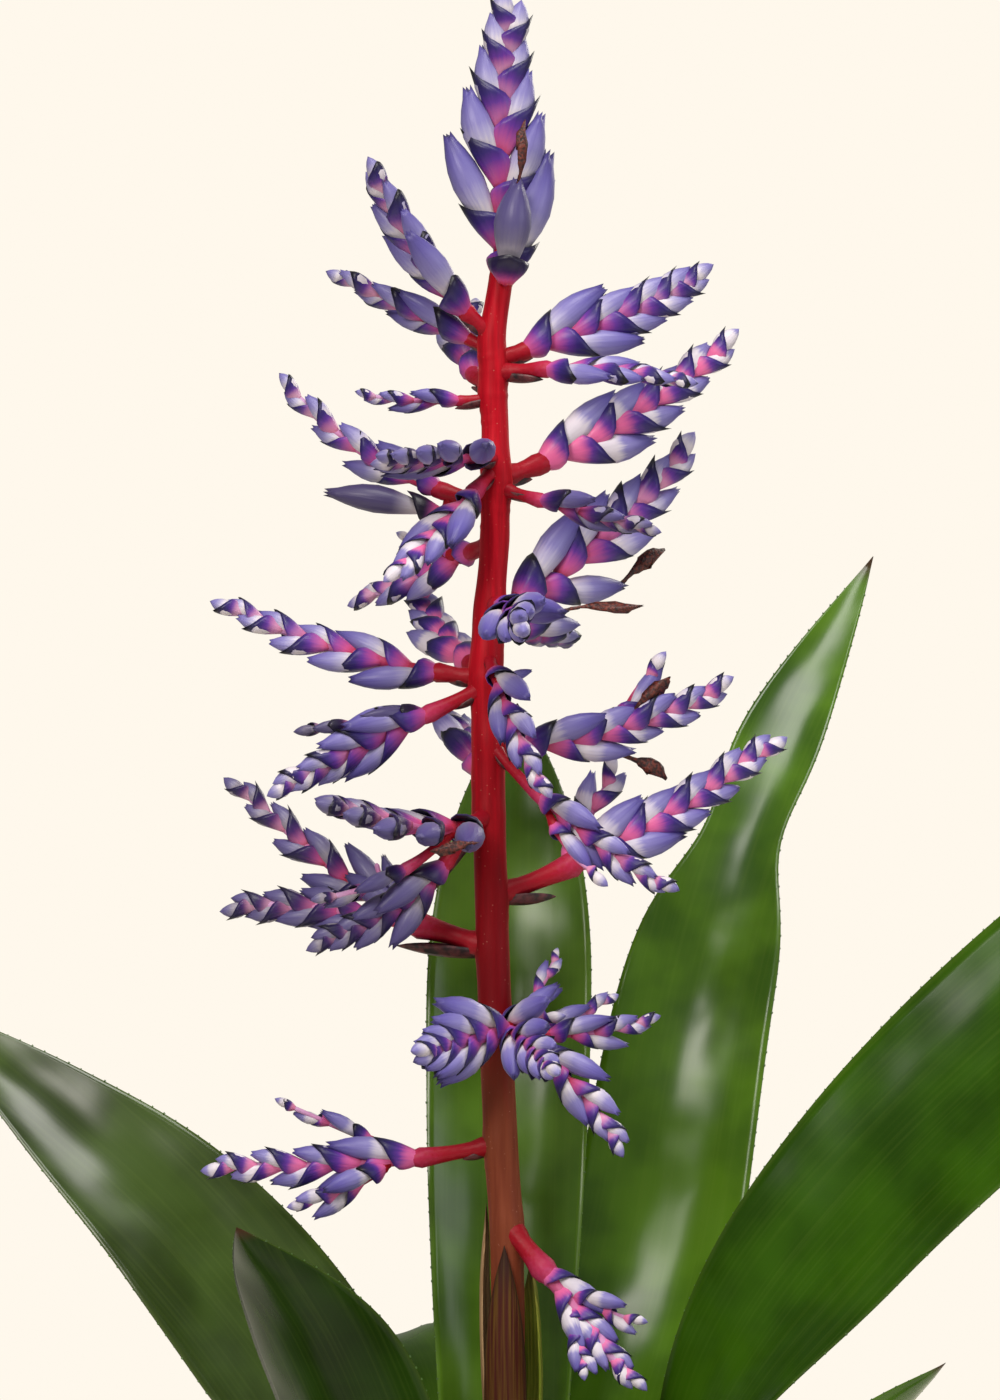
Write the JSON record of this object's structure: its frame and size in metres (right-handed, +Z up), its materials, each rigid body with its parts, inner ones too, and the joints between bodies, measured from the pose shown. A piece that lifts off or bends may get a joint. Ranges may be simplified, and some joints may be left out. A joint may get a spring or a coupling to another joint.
{
  "type": "flowering bromeliad",
  "caption": "Bromeliad lifted in bloom: toothed strap leaves round a short stock, and an upright red stalk with side branches of two-ranked pointed blue-violet flowers.",
  "frame": {"origin": "centre of the flat underside of the stock, on the surface that the plant stands on", "axes": "+Z up along the flower stalk, -Y towards the viewer of the picture, +X to its right"},
  "size_m": [0.5311, 0.506, 0.6389],
  "materials": {
    "leaf": "glossy",
    "stock": "rough, fibrous",
    "scape": "satin",
    "bract": "matt, ribbed",
    "flower": "satin, waxy"
  },
  "bodies": {
    "root": {"stock": "stock", "scape": "scape", "scape_bract_front": "bract", "scape_bract_right": "bract", "scape_bract_left": "bract", "leaf_back": "leaf", "leaf_right_back": "leaf", "leaf_left": "leaf", "leaf_right_front": "leaf", "leaf_left_front": "leaf", "leaf_left_back": "leaf", "leaf_low_right": "leaf", "leaf_outer_1": "leaf", "leaf_outer_2": "leaf", "leaf_outer_3": "leaf", "leaf_outer_4": "leaf", "leaf_outer_5": "leaf", "leaf_outer_6": "leaf", "end_spike": "flower", "branch_left_1": "flower", "branch_left_2": "flower", "branch_back_1": "flower", "branch_left_3": "flower", "branch_left_4": "flower", "branch_front_left_1": "flower", "branch_front_left_2": "flower", "branch_back_2": "flower", "branch_back_3": "flower", "branch_left_5": "flower", "branch_left_6": "flower", "branch_back_4": "flower", "branch_front_left_3": "flower", "branch_left_7": "flower", "branch_left_8": "flower", "branch_right_1": "flower", "branch_right_2": "flower", "branch_right_3": "flower", "branch_right_4": "flower", "branch_right_5": "flower", "branch_front_1": "flower", "branch_back_5": "flower", "branch_front_2": "flower", "branch_right_6": "flower", "branch_right_7": "flower", "branch_right_8": "flower", "branch_low_cluster": "flower", "branch_low_right": "flower"}
  },
  "joints": []
}
